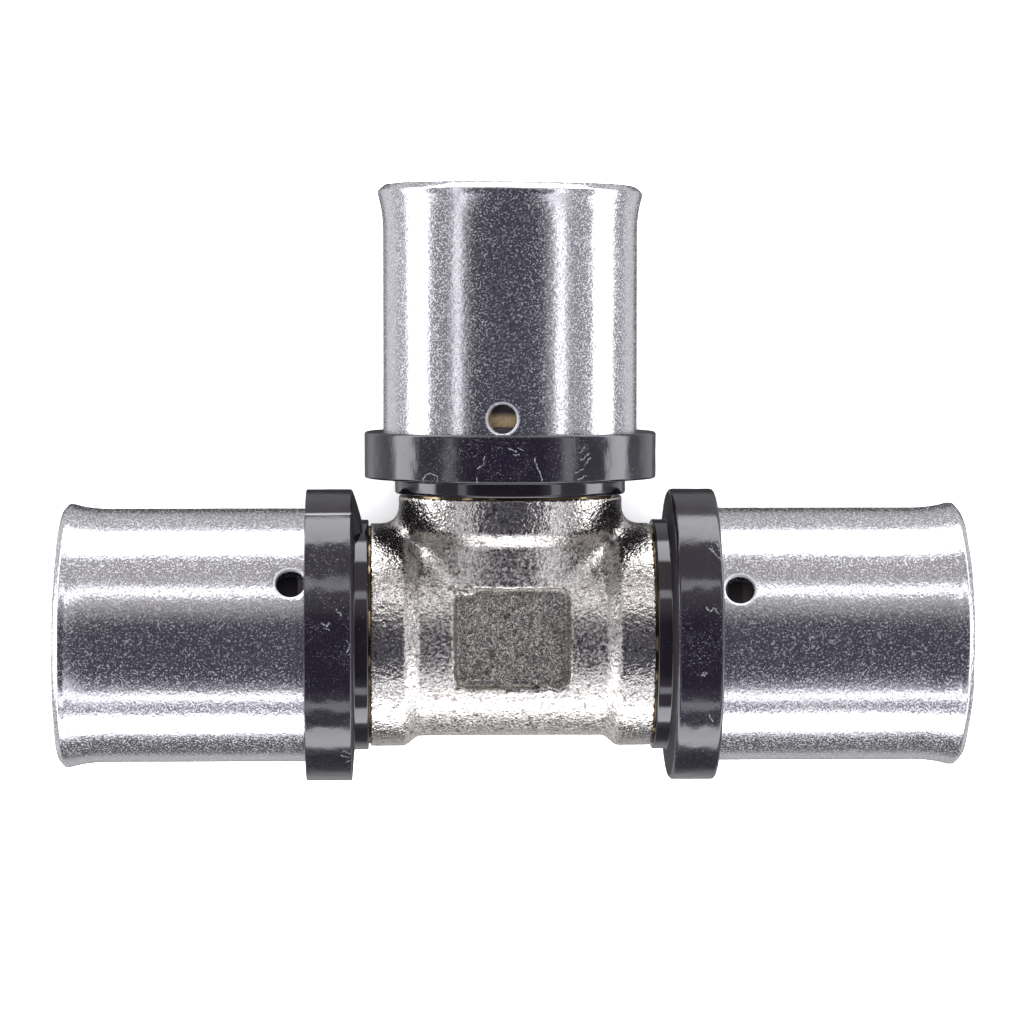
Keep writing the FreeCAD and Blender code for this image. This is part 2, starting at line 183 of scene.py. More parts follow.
class Nodes:
    """A short way to write a node tree."""

    def __init__(self, name):
        self.material = bpy.data.materials.new(name)
        self.material.use_nodes = True
        self.tree = self.material.node_tree
        self.shader = next(n for n in self.tree.nodes if n.type == "BSDF_PRINCIPLED")

    def add(self, kind, **values):
        node = self.tree.nodes.new(kind)
        for key, value in values.items():
            if hasattr(node, key) and key not in node.inputs:
                setattr(node, key, value)
            else:
                node.inputs[key].default_value = value
        return node

    def link(self, a, b):
        self.tree.links.new(a, b)
        return b

    def place(self):
        """Object coordinates, in metres."""
        return self.add("ShaderNodeTexCoord").outputs["Object"]

    def scaled(self, vector, scale):
        m = self.add("ShaderNodeMapping")
        m.inputs["Scale"].default_value = scale
        self.link(vector, m.inputs["Vector"])
        return m.outputs["Vector"]

    def noise(self, vector, scale, detail=2.0, rough=0.5, distortion=0.0):
        n = self.add("ShaderNodeTexNoise")
        n.inputs["Scale"].default_value = scale
        n.inputs["Detail"].default_value = detail
        n.inputs["Roughness"].default_value = rough
        n.inputs["Distortion"].default_value = distortion
        self.link(vector, n.inputs["Vector"])
        return n.outputs["Fac"]

    def remap(self, value, low, high, to_low=0.0, to_high=1.0, smooth=False):
        n = self.add("ShaderNodeMapRange")
        n.clamp = True
        if smooth:
            n.interpolation_type = "SMOOTHSTEP"
        n.inputs["From Min"].default_value = low
        n.inputs["From Max"].default_value = high
        n.inputs["To Min"].default_value = to_low
        n.inputs["To Max"].default_value = to_high
        self.link(value, n.inputs["Value"])
        return n.outputs["Result"]

    def math(self, operation, a, b=None):
        n = self.add("ShaderNodeMath")
        n.operation = operation
        for slot, value in ((0, a), (1, b)):
            if value is None:
                continue
            if isinstance(value, (int, float)):
                n.inputs[slot].default_value = value
            else:
                self.link(value, n.inputs[slot])
        return n.outputs[0]

    def mix(self, factor, a, b):
        n = self.add("ShaderNodeMix")
        n.data_type = "RGBA"
        for value, slot in ((factor, 0), (a, 6), (b, 7)):
            if isinstance(value, (int, float)):
                n.inputs[slot].default_value = value
            elif isinstance(value, tuple):
                n.inputs[slot].default_value = value
            else:
                self.link(value, n.inputs[slot])
        return n.outputs[2]

    def vector(self, operation, a, b=None, scale=None):
        n = self.add("ShaderNodeVectorMath")
        n.operation = operation
        for slot, value in ((0, a), (1, b)):
            if value is None:
                continue
            if isinstance(value, tuple):
                n.inputs[slot].default_value = value
            else:
                self.link(value, n.inputs[slot])
        if scale is not None:
            self.link(scale, n.inputs["Scale"])
        return n.outputs["Value" if operation in ("LENGTH", "DOT_PRODUCT") else "Vector"]

    def stroke(self, plan, start, end):
        """Distance, in millimetres, to a short line seen from above. plan is x, y, 0 in millimetres."""
        dx, dy = end[0] - start[0], end[1] - start[1]
        square = dx * dx + dy * dy
        v = self.vector("SUBTRACT", plan, (start[0], start[1], 0.0))
        t = self.vector("DOT_PRODUCT", v, (dx / square, dy / square, 0.0))
        t = self.math("MINIMUM", self.math("MAXIMUM", t, 0.0), 1.0)
        line = self.add("ShaderNodeVectorMath")
        line.operation = "SCALE"
        line.inputs[0].default_value = (dx, dy, 0.0)
        self.link(t, line.inputs["Scale"])
        return self.vector("LENGTH", self.vector("SUBTRACT", v, line.outputs["Vector"]))

    def bump(self, height, distance, strength=1.0, normal=None):
        n = self.add("ShaderNodeBump")
        n.inputs["Distance"].default_value = distance
        n.inputs["Strength"].default_value = strength
        self.link(height, n.inputs["Height"])
        if normal is not None:
            self.link(normal, n.inputs["Normal"])
        return n.outputs["Normal"]


def stainless(name, along):
    """Tumbled stainless tube. along: 'x' or 'y', the arm's axis in the shared frame."""
    s = Nodes(name)
    p = s.place()
    # grains: short ones across the axis, mixed with round ones
    squeeze = {"x": (1.0, 0.45, 0.45), "y": (0.45, 1.0, 0.45)}[along]
    grain = s.noise(s.scaled(p, squeeze), 5200.0, 1.0, 0.5)
    round_grain = s.noise(p, 3900.0, 1.2, 0.5)
    patches = s.noise(p, 120.0, 2.0, 0.5)
    height = s.math("ADD", s.math("MULTIPLY", grain, 0.6), s.math("MULTIPLY", round_grain, 0.4))
    normal = s.bump(height, 0.000024, 1.0)
    s.link(normal, s.shader.inputs["Normal"])
    fine = s.noise(p, 2600.0, 2.0, 0.7)
    dull = s.noise(p, 6600.0, 1.0, 0.5)
    colour = s.mix(
        s.remap(fine, 0.3, 0.7),
        (0.56, 0.56, 0.585, 1.0),
        (0.70, 0.70, 0.72, 1.0),
    )
    s.link(colour, s.shader.inputs["Base Color"])
    s.shader.inputs["Metallic"].default_value = 1.0
    rough = s.math(
        "ADD",
        s.remap(fine, 0.3, 0.75, 0.09, 0.16),
        s.remap(patches, 0.35, 0.7, 0.0, 0.05),
    )
    rough = s.math("ADD", rough, s.remap(dull, 0.54, 0.68, 0.0, 0.48))
    s.link(rough, s.shader.inputs["Roughness"])
    return s.material


def burnished(name):
    """Stainless steel rubbed bright by a tool, as round the inspection holes."""
    s = Nodes(name)
    skin = s.noise(s.place(), 2600.0, 1.0, 0.5)
    s.shader.inputs["Base Color"].default_value = (0.93, 0.93, 0.95, 1.0)
    s.shader.inputs["Metallic"].default_value = 1.0
    s.link(s.remap(skin, 0.3, 0.7, 0.54, 0.68), s.shader.inputs["Roughness"])
    return s.material


def nickel(name):
    """Nickel over a rough forged skin. The collars are a little smoother than the rest."""
    s = Nodes(name)
    p = s.place()
    coarse = s.noise(p, 2300.0, 1.5, 0.55)
    fine = s.noise(p, 4700.0, 1.0, 0.5)
    pits = s.noise(p, 1500.0, 3.0, 0.65)
    dull = s.noise(p, 4400.0, 1.5, 0.6)
    split = s.add("ShaderNodeSeparateXYZ")
    s.link(p, split.inputs[0])
    out = s.math("ABSOLUTE", split.outputs["X"])
    out = s.math("MAXIMUM", out, s.math("SUBTRACT", split.outputs["Y"], float(TEE[1])))
    forged = s.remap(out, 0.0095, 0.0099, 1.0, 0.0)
    # the recess keeps the die's rougher skin
    side = s.math("ABSOLUTE", s.math("SUBTRACT", split.outputs["X"], 0.001 * PANEL[0]))
    run = s.math("SUBTRACT", split.outputs["Y"], float(TEE[1]) + 0.001 * PANEL[1])
    recess = s.math(
        "MULTIPLY",
        s.remap(side, 0.001 * PANEL[2] - 0.0001, 0.001 * PANEL[2] + 0.0001, 1.0, 0.0),
        s.remap(s.math("ABSOLUTE", run), 0.001 * PANEL[3] - 0.0001, 0.001 * PANEL[3] + 0.0001, 1.0, 0.0),
    )
    top = float(TEE[2]) + 0.001 * PANEL[5]
    recess = s.math("MULTIPLY", recess, s.remap(split.outputs["Z"], top + 0.00015, top + 0.0004, 1.0, 0.0))
    recess = s.math("MULTIPLY", recess, s.remap(split.outputs["Z"], top - 0.002, top - 0.001))
    height = s.math("ADD", s.math("MULTIPLY", coarse, 0.60), s.math("MULTIPLY", fine, 0.42))
    height = s.math("MULTIPLY", height, s.math("ADD", 1.0, s.math("MULTIPLY", recess, 0.5)))
    normal = s.bump(height, 0.000105, 1.0)
    s.link(normal, s.shader.inputs["Normal"])
    colour = s.mix(
        s.remap(fine, 0.35, 0.65),
        (0.46, 0.435, 0.405, 1.0),
        (0.80, 0.78, 0.745, 1.0),
    )
    grit = s.noise(p, 8200.0, 1.0, 0.5)
    speckled = s.mix(s.remap(grit, 0.41, 0.59), (0.24, 0.225, 0.20, 1.0), (0.86, 0.815, 0.75, 1.0))
    # painted shade: the recess floor darkens towards its walls
    recess_wall_shade = s.math(
        "MAXIMUM",
        s.remap(side, 0.001 * PANEL[2] - 0.0008, 0.001 * PANEL[2] - 0.0002),
        s.remap(s.math("ABSOLUTE", run), 0.001 * PANEL[3] - 0.0008, 0.001 * PANEL[3] - 0.0002),
    )
    speckled = s.mix(s.math("MULTIPLY", recess_wall_shade, 0.6), speckled, (0.14, 0.13, 0.115, 1.0))
    colour = s.mix(recess, colour, speckled)
    colour = s.mix(s.remap(pits, 0.35, 0.43, 0.85, 0.0), colour, (0.17, 0.15, 0.125, 1.0))
    s.link(colour, s.shader.inputs["Base Color"])
    s.shader.inputs["Metallic"].default_value = 1.0
    spots = s.math("MULTIPLY", s.remap(dull, 0.50, 0.64, 0.0, 0.42), s.remap(forged, 0.0, 1.0, 0.25, 1.0))
    rough = s.math("ADD", s.remap(fine, 0.3, 0.75, 0.15, 0.24), spots)
    rough = s.math("ADD", rough, s.math("MULTIPLY", forged, 0.07))
    rough = s.math("ADD", rough, s.math("MULTIPLY", recess, 0.10))
    s.link(rough, s.shader.inputs["Roughness"])
    return s.material


def bare_brass(name):
    """Turned brass. Painted shade darkens the line beside the collars, and painted light and shade mark the roots
    where the inspection holes look in.
    """
    s = Nodes(name)
    p = s.place()
    lines = s.noise(p, 5000.0, 2.0, 0.6)
    s.link(s.bump(lines, 0.00001, 1.0), s.shader.inputs["Normal"])
    tone = s.noise(p, 420.0, 1.0, 0.5)
    mottle = s.noise(p, 2600.0, 2.0, 0.6)
    split = s.add("ShaderNodeSeparateXYZ")
    s.link(p, split.inputs[0])
    x = split.outputs["X"]
    y = s.math("SUBTRACT", split.outputs["Y"], float(TEE[1]))
    out = s.math("MAXIMUM", s.math("ABSOLUTE", x), y)
    # painted shade: the brass in the gap beside the collars is near-black, with patches of the brass's own colour
    # where the noise runs high
    line = s.mix(s.remap(tone, 0.55, 0.63), (0.07, 0.05, 0.025, 1.0), (0.80, 0.62, 0.34, 1.0))
    # painted light and shade on the roots where the inspection holes look in: a lit band on the branch, near-black
    # elsewhere, a little less dark on the right arm beyond 20.5 mm
    band = s.math("MULTIPLY", s.remap(y, 0.0130, 0.0135), s.remap(y, 0.01975, 0.0205, 1.0, 0.0, smooth=True))
    bright = s.mix(s.remap(mottle, 0.3, 0.7), (0.155, 0.110, 0.060, 1.0), (0.235, 0.175, 0.100, 1.0))
    root = s.mix(band, (0.0130, 0.0112, 0.0140, 1.0), bright)
    root = s.mix(s.remap(x, 0.0205, 0.0207), root, (0.031, 0.027, 0.028, 1.0))
    under = s.remap(out, 0.0130, 0.0135)
    tip = s.remap(out, 0.0226, 0.0229)
    colour = s.mix(tip, s.mix(under, line, root), (0.80, 0.60, 0.30, 1.0))
    s.link(colour, s.shader.inputs["Base Color"])
    metal = s.math("ADD", s.remap(out, 0.0130, 0.0135, 1.0, 0.2), s.math("MULTIPLY", tip, 0.8))
    s.link(metal, s.shader.inputs["Metallic"])
    s.link(s.remap(tone, 0.3, 0.7, 0.28, 0.42), s.shader.inputs["Roughness"])
    return s.material


# Scratches and nicks on the rings' upper sides, as short lines in plan: x, y from where the axes
# cross, in millimetres.
SCRATCHES = [
    ((17.35, 8.45), (18.35, 7.35)), ((17.9, 8.9), (18.6, 8.1)),
    ((16.85, 3.35), (17.25, 3.05)), ((17.25, 3.05), (17.55, 3.3)), ((17.55, 3.3), (17.95, 2.75)),
    ((16.6, -2.3), (16.75, -2.7)), ((16.5, -2.65), (16.9, -2.4)), ((17.3, -6.3), (17.6, -6.9)),
    ((-16.9, 2.1), (-16.45, 1.85)), ((-16.45, 1.85), (-16.2, 2.15)), ((-16.7, 1.6), (-16.3, 1.5)),
    ((-15.6, 3.3), (-15.25, 2.75)), ((-14.75, 0.55), (-14.4, 0.15)), ((-14.4, 0.15), (-14.65, -0.4)),
    ((-14.2, -0.5), (-14.35, -0.95)),
    ((-14.45, -9.85), (-15.1, -9.6)), ((-14.6, -10.25), (-15.3, -10.05)), ((-14.45, -10.6), (-14.8, -10.75)),
    ((-3.2, 15.6), (-2.75, 15.95)), ((-2.75, 15.95), (-2.6, 16.6)), ((-3.35, 14.75), (-3.25, 14.3)),
    ((-0.5, 17.35), (0.15, 17.1)), ((0.3, 17.45), (0.7, 17.15)), ((-0.1, 16.85), (0.35, 16.8)),
    ((1.75, 16.45), (2.45, 14.5)),
    ((5.75, 16.9), (6.35, 17.55)), ((5.9, 16.25), (6.6, 16.9)), ((6.2, 15.8), (6.75, 16.5)),
    ((5.3, 15.1), (6.1, 15.5)), ((5.6, 14.6), (6.3, 14.9)), ((8.2, 14.85), (8.3, 15.6)),
]
SEAM = (-18.5, 11.33), (-14.2, 11.36)  # a mould seam across the left flange
GATE_MARK = (-7.35, 14.5, 0.62)  # where the ring was filled: x, y and radius


def black_plastic(name, glossy):
    """Moulded black plastic. The small collar is as smooth as its mould, the flange is scuffed."""
    s = Nodes(name)
    p = s.place()
    wave = s.noise(p, 210.0, 2.0, 0.5)
    skin = s.noise(p, 2300.0, 2.0, 0.6)
    dots = s.noise(p, 6800.0, 1.0, 0.5)
    cloud = s.noise(p, 260.0, 3.0, 0.6)
    s.shader.inputs["IOR"].default_value = 1.65
    if glossy:
        height = s.math("ADD", wave, s.math("MULTIPLY", skin, 0.02))
        s.link(s.bump(height, 0.00003, 1.0), s.shader.inputs["Normal"])
        dust = s.remap(dots, 0.74, 0.80, 0.0, 0.5)
        colour = s.mix(dust, (0.0024, 0.0018, 0.0030, 1.0), (0.07, 0.07, 0.08, 1.0))
        s.link(colour, s.shader.inputs["Base Color"])
        s.link(s.remap(cloud, 0.3, 0.7, 0.05, 0.09), s.shader.inputs["Roughness"])
        return s.material
    specks = s.noise(p, 3300.0, 2.0, 0.65)
    hair = s.noise(s.scaled(p, (1.0, 0.16, 1.0)), 4200.0, 2.0, 0.6)
    plan = s.vector("SUBTRACT", s.scaled(p, (1000.0, 1000.0, 0.0)), (0.0, float(TEE[1]) * 1000, 0.0))
    z = s.add("ShaderNodeSeparateXYZ")
    s.link(p, z.inputs[0])
    upper = s.remap(z.outputs["Z"], float(TEE[2]), float(TEE[2]) + 0.002, 0.0, 1.0)
    # where the mould's halves met: a fine raised ridge, painted lighter as a highlight, with a painted shadow beside
    # it
    seam = s.math("MULTIPLY", s.remap(s.stroke(plan, *SEAM), 0.03, 0.11, 1.0, 0.0), upper)
    seam_shadow = (SEAM[0][0], SEAM[0][1] - 0.17), (SEAM[1][0], SEAM[1][1] - 0.17)
    seam_shadow = s.math("MULTIPLY", s.remap(s.stroke(plan, *seam_shadow), 0.04, 0.12, 1.0, 0.0), upper)
    ragged = s.add("ShaderNodeTexNoise")
    ragged.inputs["Scale"].default_value = 2400.0
    s.link(p, ragged.inputs["Vector"])
    shake = s.vector("MULTIPLY", s.vector("SUBTRACT", ragged.outputs["Color"], (0.5, 0.5, 0.5)), (0.42, 0.42, 0.0))
    plan = s.vector("ADD", plan, shake)
    near = None
    for start, end in SCRATCHES:
        d = s.stroke(plan, start, end)
        near = d if near is None else s.math("MINIMUM", near, d)
    gx, gy, radius = GATE_MARK
    loop = s.vector("LENGTH", s.vector("SUBTRACT", plan, (gx, gy, 0.0)))
    loop = s.math("ABSOLUTE", s.math("SUBTRACT", loop, radius))
    near = s.math("MINIMUM", near, loop)
    mark = s.math("MULTIPLY", s.remap(near, 0.02, 0.075, 1.0, 0.0), upper)
    mark = s.math("MULTIPLY", mark, s.remap(dots, 0.36, 0.58, 0.15, 1.0))
    height = s.math("ADD", s.math("MULTIPLY", wave, 2.0), s.math("MULTIPLY", skin, 0.08))
    height = s.math("ADD", height, s.math("MULTIPLY", hair, 0.20))
    height = s.math("ADD", height, s.math("MULTIPLY", dots, 0.10))
    height = s.math("SUBTRACT", height, s.math("MULTIPLY", mark, 0.9))
    height = s.math("ADD", height, s.math("MULTIPLY", seam, 0.8))
    s.link(s.bump(height, 0.00003, 1.0), s.shader.inputs["Normal"])
    worn = s.math("MULTIPLY", s.remap(cloud, 0.46, 0.62, 0.15, 1.0), s.remap(specks, 0.50, 0.66, 0.0, 1.0))
    fleck = s.math("MULTIPLY", s.remap(dots, 0.61, 0.77, 0.0, 1.0), s.remap(cloud, 0.40, 0.64, 0.12, 1.0))
    colour = s.mix(worn, (0.0026, 0.0019, 0.0040, 1.0), (0.0085, 0.0075, 0.0115, 1.0))
    colour = s.mix(fleck, colour, (0.055, 0.055, 0.066, 1.0))
    colour = s.mix(s.math("MULTIPLY", mark, 0.7), colour, (0.10, 0.10, 0.112, 1.0))
    # painted highlight along the seam's ridge, and its painted shadow as a dark line beside it
    colour = s.mix(s.math("MULTIPLY", seam, 0.8), colour, (0.17, 0.17, 0.19, 1.0))
    colour = s.mix(seam_shadow, colour, (0.002, 0.002, 0.003, 1.0))
    s.link(colour, s.shader.inputs["Base Color"])
    rough = s.math("ADD", s.remap(cloud, 0.3, 0.7, 0.10, 0.15), s.math("MULTIPLY", mark, 0.3))
    rough = s.math("ADD", rough, s.remap(dots, 0.55, 0.75, 0.0, 0.12))
    s.link(rough, s.shader.inputs["Roughness"])
    return s.material


def dull_plastic(name):
    """The same plastic where the mould was rough."""
    s = Nodes(name)
    skin = s.noise(s.place(), 2600.0, 2.0, 0.6)
    s.link(s.bump(skin, 0.00003, 1.0), s.shader.inputs["Normal"])
    s.shader.inputs["Base Color"].default_value = (0.013, 0.011, 0.015, 1.0)
    s.shader.inputs["Roughness"].default_value = 0.62
    s.shader.inputs["IOR"].default_value = 1.33
    return s.material


def seal_rubber(name):
    s = Nodes(name)
    p = s.place()
    skin = s.noise(p, 2500.0, 2.0, 0.6)
    s.link(s.bump(skin, 0.00001, 1.0), s.shader.inputs["Normal"])
    s.link(
        s.mix(skin, (0.008, 0.008, 0.009, 1.0), (0.02, 0.02, 0.021, 1.0)),
        s.shader.inputs["Base Color"],
    )
    s.link(s.remap(skin, 0.3, 0.7, 0.35, 0.5), s.shader.inputs["Roughness"])
    return s.material


MAT_STEEL_X = stainless("stainless_run", "x")
MAT_STEEL_Y = stainless("stainless_branch", "y")
MAT_RIM = burnished("stainless_burnished")
MAT_NICKEL = nickel("nickel_plated")
MAT_BRASS = bare_brass("bare_brass")
MAT_PLASTIC = black_plastic("black_plastic", False)
MAT_COLLAR = black_plastic("black_plastic_glossy", True)
MAT_DULL = dull_plastic("black_plastic_dull")
MAT_RUBBER = seal_rubber("seal_rubber")

# ------------------------------------------------------------------------------------------------
# Forged body
# ------------------------------------------------------------------------------------------------
BARREL, COLLAR = 9.2, 10.1
COLLAR_END = 12.68


def smooth_min(a, b, k):
    h = np.maximum(k - np.abs(a - b), 0) / k
    return np.minimum(a, b) - h * h * k * 0.25


def smooth_max(a, b, k):
    return -smooth_min(-a, -b, k)


def collar_profile(a):
    t = np.clip((a - 8.2) / 1.6, 0, 1)
    return BARREL + (COLLAR - BARREL) * t * t * (3 - 2 * t)


def collar_slope(a):
    t = np.clip((a - 8.2) / 1.6, 0, 1)
    return (COLLAR - BARREL) * 6 * t * (1 - t) / 1.6


def segment_distance(p, a, b):
    a, b = np.asarray(a, float), np.asarray(b, float)
    d = b - a
    t = np.clip(((p - a) @ d) / (d @ d), 0, 1)
    return np.linalg.norm(p - (a + t[..., None] * d), axis=-1), t


def body_field(p):
    """Signed distance to the forging's skin, in millimetres, negative inside."""
    x, y, z = p[..., 0], p[..., 1], p[..., 2]
    ax = np.abs(x)
    ry, rx = np.hypot(y, z), np.hypot(x, z)
    run = (ry - collar_profile(ax)) / np.sqrt(1 + collar_slope(ax) ** 2)
    branch = (rx - collar_profile(y)) / np.sqrt(1 + collar_slope(y) ** 2)
    # the skin of a forging is never quite true
    wobble = 0.035 * noise3(p, 4.2, 1.0) + 0.016 * noise3(p, 1.3, 2.0)
    run, branch = run + wobble, branch + wobble
    run = smooth_max(run, ax - COLLAR_END, 0.22)
    branch = smooth_max(branch, y - COLLAR_END, 0.22)
    branch = np.maximum(branch, -y - 0.01)
    # the fillet is widest in the crotch and dies out on the crown
    facing = z * z / np.maximum(ry * rx, 1e-6)
    k = 0.06 + 1.75 * np.clip(1 - facing, 0, 1) ** 0.8
    skin = smooth_min(run, branch, k)
    # recessed panel with draft, a rounded rim and floor
    cx, cy, hx, hy, r, floor = PANEL
    lean = (z - floor) * 0.10
    rim_noise = 0.06 * noise3(p, 0.9, 3.0) + 0.03 * noise3(p, 0.4, 4.0)
    qx = np.abs(x - cx) - (hx - 0.12 + lean) + r + rim_noise
    qy = np.abs(y - cy) - (hy - 0.12 + lean) + r + rim_noise
    flat = np.hypot(np.maximum(qx, 0), np.maximum(qy, 0)) + np.minimum(np.maximum(qx, qy), 0) - r
    rough_floor = floor + 0.035 * noise3(p, 0.7, 5.0) + 0.02 * noise3(p, 0.35, 6.0)
    hollow = smooth_max(flat, rough_floor - z, 0.45)
    skin = smooth_max(skin, -hollow, 0.24)
    # metal that filled the panel's corner, and a sliver on its lower edge
    q = (p - np.array([-4.25, 4.50, 8.0])) / np.array([0.95, 0.42, 0.62])
    lump = (np.linalg.norm(q, axis=-1) - 1) * 0.42 + 0.10 * noise3(p, 0.5, 8.0)
    skin = smooth_min(skin, lump, 0.12)
    d, t = segment_distance(p, (1.85, -3.65, 7.70), (4.0, -4.50, 8.00))
    skin = smooth_min(skin, d - (0.13 + 0.19 * t), 0.06)
    d, t = segment_distance(p, (2.3, -4.25, 7.62), (4.6, -4.6, 7.80))
    skin = smooth_min(skin, d - 0.14 - 0.05 * t, 0.06)
    return skin


def surface_net(field, low, high, step):
    """A closed quad mesh of field = 0: one point in each grid cell that the skin passes through."""
    axes = [np.arange(l, h + step, step) for l, h in zip(low, high)]
    n = [len(a) for a in axes]
    values = np.empty(n)
    for i in range(n[0]):
        gx, gy, gz = np.meshgrid(axes[0][i : i + 1], axes[1], axes[2], indexing="ij")
        values[i] = field(np.stack([gx, gy, gz], axis=-1))[0]
    inside = values < 0
    total = np.zeros([m - 1 for m in n] + [3])
    count = np.zeros([m - 1 for m in n])
    cut = []
    for axis in range(3):
        lo = [slice(None)] * 3
        hi = [slice(None)] * 3
        lo[axis], hi[axis] = slice(0, -1), slice(1, None)
        a, b = values[tuple(lo)], values[tuple(hi)]
        crossing = inside[tuple(lo)] != inside[tuple(hi)]
        share = np.where(crossing, a / np.where(crossing, a - b, 1), 0)
        cut.append(crossing)
        others = [k for k in range(3) if k != axis]
        for d0 in (0, 1):
            for d1 in (0, 1):
                take = [slice(None)] * 3
                take[others[0]] = slice(d0, n[others[0]] - 1 + d0)
                take[others[1]] = slice(d1, n[others[1]] - 1 + d1)
                c = crossing[tuple(take)]
                s = share[tuple(take)]
                count += c
                total[..., axis] += np.where(c, s, 0)
                total[..., others[0]] += np.where(c, d0, 0)
                total[..., others[1]] += np.where(c, d1, 0)
    active = count > 0
    index = np.full(active.shape, -1)
    index[active] = np.arange(active.sum())
    cell = np.argwhere(active)
    points = (cell + total[active] / count[active][:, None]) * step + np.array(low)
    quads = []
    for axis in range(3):
        o0, o1 = [k for k in range(3) if k != axis]
        where = np.argwhere(cut[axis])
        ok = (where[:, o0] > 0) & (where[:, o1] > 0)
        ok &= (where[:, o0] < n[o0] - 1) & (where[:, o1] < n[o1] - 1)
        where = where[ok]
        corners = []
        for d0, d1 in ((-1, -1), (0, -1), (0, 0), (-1, 0)):
            c = where.copy()
            c[:, o0] += d0
            c[:, o1] += d1
            corners.append(index[c[:, 0], c[:, 1], c[:, 2]])
        quad = np.stack(corners, axis=1)
        flip = inside[where[:, 0], where[:, 1], where[:, 2]]
        if axis == 1:
            flip = ~flip
        quad[~flip] = quad[~flip][:, ::-1]
        quads.append(quad)
    return points, np.concatenate(quads)


def settle(field, points, rounds=3):
    """Moves points onto field = 0."""
    e = 0.01
    for _ in range(rounds):
        value = field(points)
        slope = np.stack(
            [
                (field(points + e * np.eye(3)[k]) - field(points - e * np.eye(3)[k])) / (2 * e)
                for k in range(3)
            ],
            axis=-1,
        )
        step = value[:, None] * slope / np.maximum((slope**2).sum(-1), 0.2)[:, None]
        length = np.linalg.norm(step, axis=-1, keepdims=True)
        points = points - step * np.minimum(1, 0.12 / np.maximum(length, 1e-9))
    return points


def nipple_profile():
    """(station, radius) of one nipple, from inside the collar to its tip."""
    land, valley, pitch = 7.95, 7.5, 1.5
    p = [(COLLAR_END - 0.6, 9.9), (12.82, 9.9), (12.85, 9.87), (12.85, 8.6), (14.6, 8.6)]
    p += [(14.6, 8.0), (15.8, 8.0), (15.8, 8.6), (19.03, 8.6), (19.1, 8.53), (19.1, land)]

    def barbs(first, count):
        out = []
        for i in range(count):
            k = first + pitch * i
            out += [(k, valley), (k + 0.03, land - 0.04), (k + 0.08, land)]
        out.append((first + pitch * count, valley))
        return out

    p += [(22.9, land), (23.0, 7.88), (23.0, 6.5), (25.4, 6.5), (25.4, land), (25.8, land)]
    p += [(25.8, valley)] + barbs(26.2, 3)
    p += [(30.72, land), (31.2, land), (31.2, 6.5), (33.6, 6.5), (33.6, land), (34.2, land)]
    p += [(34.2, valley)] + barbs(34.6, 2)
    p += [(37.62, land), (38.1, land), (38.25, 7.91), (39.05, 7.25), (39.2, 7.05)]
    p += [(39.2, 6.1), (39.12, 5.95), (38.8, 5.6), (37.0, 5.6)]
    return p


def bool_with(target, tool, operation):
    m = target.modifiers.new("join", "BOOLEAN")
    m.operation = operation
    m.object = tool
    try:
        m.solver = "MANIFOLD"
    except TypeError:
        m.solver = "EXACT"
    depsgraph = bpy.context.evaluated_depsgraph_get()
    mesh = bpy.data.meshes.new_from_object(target.evaluated_get(depsgraph))
    target.modifiers.clear()
    old = target.data
    target.data = mesh
    bpy.data.meshes.remove(old)
    bpy.data.objects.remove(tool)


def make_body():
    step = 0.185
    points, quads = surface_net(body_field, (-13.2, -10.9, -10.9), (13.2, 13.2, 10.9), step)
    points = settle(body_field, points)
    quads = outward(points, quads)
    body = make_object("tee_body", to_frame(points), quads, [MAT_NICKEL, MAT_BRASS])
    segments = 112
    for side, turn in TURN.items():
        profile = nipple_profile()
        profile = [(11.4, 5.0), (11.4, 9.9)] + profile[1:-1] + [(38.8, 5.6), (38.8, 5.0)]
        pts, qs = turn_profile(spread(profile, 1.2), segments)
        qs = outward(pts, qs)
        nipple = make_object(
            "nipple", to_frame(pts, turn), qs, [MAT_NICKEL, MAT_BRASS], np.ones(len(qs), int)
        )
        bool_with(body, nipple, "UNION")
    for turn, start, end in ((0.0, -38.85, 38.85), (90.0, 0.0, 38.85)):
        pts, qs = turn_profile([(start, 0.0005), (start, 5.6), (end, 5.6), (end, 0.0005)], 96)
        qs = outward(pts, qs)
        drill = make_object(
            "drill", to_frame(pts, turn), qs, [MAT_NICKEL, MAT_BRASS], np.ones(len(qs), int)
        )
        bool_with(body, drill, "DIFFERENCE")
    mesh = body.data
    mesh.polygons.foreach_set("use_smooth", np.ones(len(mesh.polygons), bool))
    mesh.set_sharp_from_angle(angle=math.radians(38))
    mesh.update()
    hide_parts("body")
    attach(body, "root")
    return body


# ------------------------------------------------------------------------------------------------
# Press sleeves
# ------------------------------------------------------------------------------------------------
SLEEVE_R, SLEEVE_IN = 11.5, 10.3
HOLE_AT = {"left": 19.7, "right": 20.05, "branch": 19.88}
HOLE_R, RIM = 1.28, 0.25
PATCH = 2.4


def flare_outer(a):
    t = np.clip((a - 36.4) / 3.5, 0, 1.02)
    return SLEEVE_R + 0.46 * t**2.2


def flare_inner(a):
    t = np.clip((a - 36.4) / 3.8, 0, 1)
    return SLEEVE_IN + 0.68 * t**2


def sleeve_waves(a, t, seed):
    """How far a drawn sleeve is out of true, in millimetres."""
    ring = np.column_stack([np.cos(t) * 9, np.sin(t) * 9, a * 0.6])
    return 0.012 * noise3(ring, 4.0, seed) + 0.02 * noise3(ring, 11.0, seed + 3)


